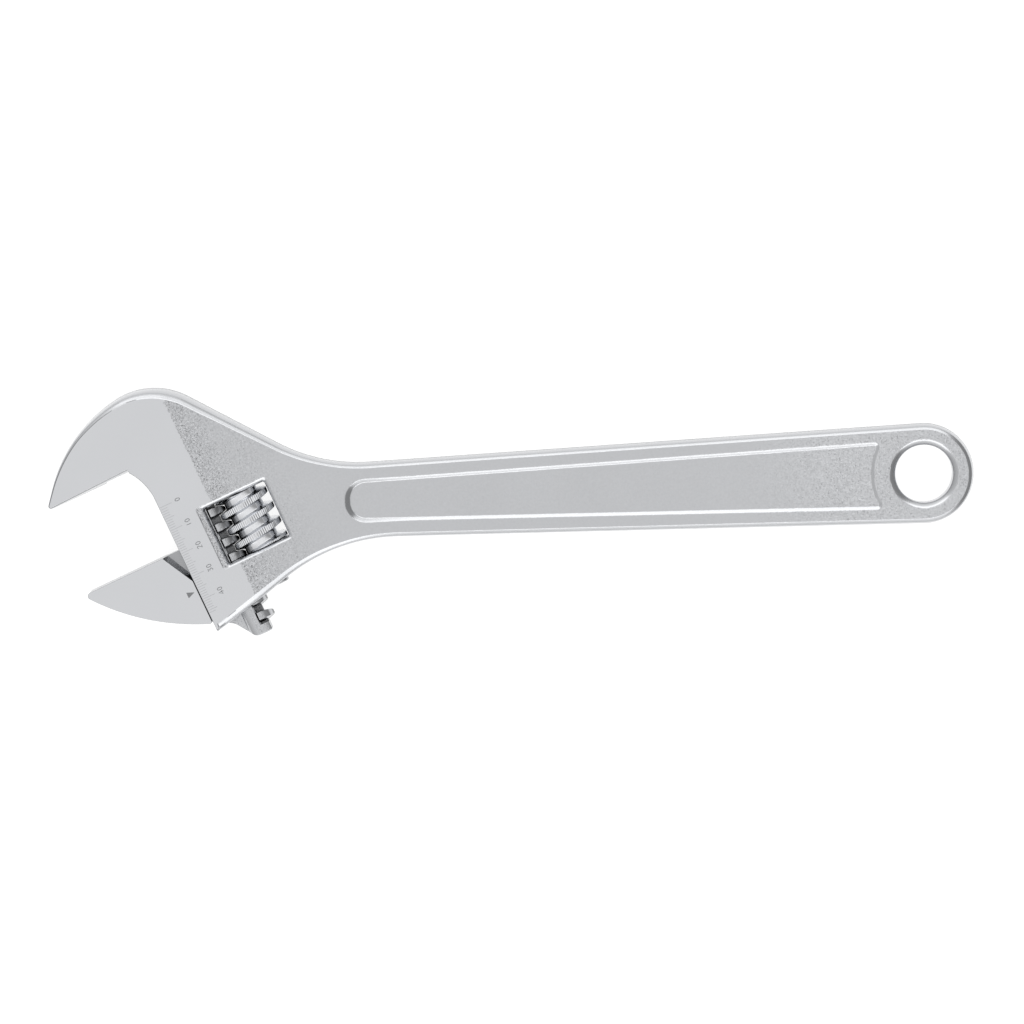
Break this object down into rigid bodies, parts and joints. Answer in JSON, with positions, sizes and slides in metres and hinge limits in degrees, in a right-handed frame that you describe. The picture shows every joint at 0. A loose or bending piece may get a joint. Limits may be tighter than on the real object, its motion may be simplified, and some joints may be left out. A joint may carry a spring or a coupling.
{
  "type": "adjustable wrench",
  "caption": "Adjustable wrench: forged handle with angled head, fixed and sliding jaws, knurled adjusting worm in a window, recessed grip panel and hang hole.",
  "frame": {"origin": "centre of the hang hole, in the wrench's mid plane", "axes": "+X along the handle away from the jaws, +Y across the handle towards the fixed jaw's back, +Z out of the face that carries the scale, along the hang hole"},
  "size_m": [0.3757, 0.1021, 0.0218],
  "materials": {
    "forged_steel": "satin",
    "jaw_steel": "satin",
    "worm_steel": "satin",
    "screw_steel": "satin",
    "spring_steel": "satin"
  },
  "bodies": {
    "body": {"body": "forged_steel", "axle_screw": "screw_steel", "worm_spring": "spring_steel"},
    "worm": {"worm": "worm_steel"},
    "movable_jaw": {"movable_jaw": "jaw_steel"}
  },
  "joints": [
    {"name": "worm_spin", "type": "hinge", "parent": "body", "child": "worm", "pos_m": [-0.27328, -0.00573, 0], "axis": [-0.3827, 0.9239, 0], "range_deg": [-2010, 390]},
    {"name": "jaw_slide", "type": "slide", "parent": "body", "child": "movable_jaw", "axis": [0.3827, -0.9239, 0], "range_m": [-0.0367, 0.007]}
  ],
  "couplings": [
    {"joint": "worm_spin", "follows": "jaw_slide", "rad_per_m": 952}
  ]
}
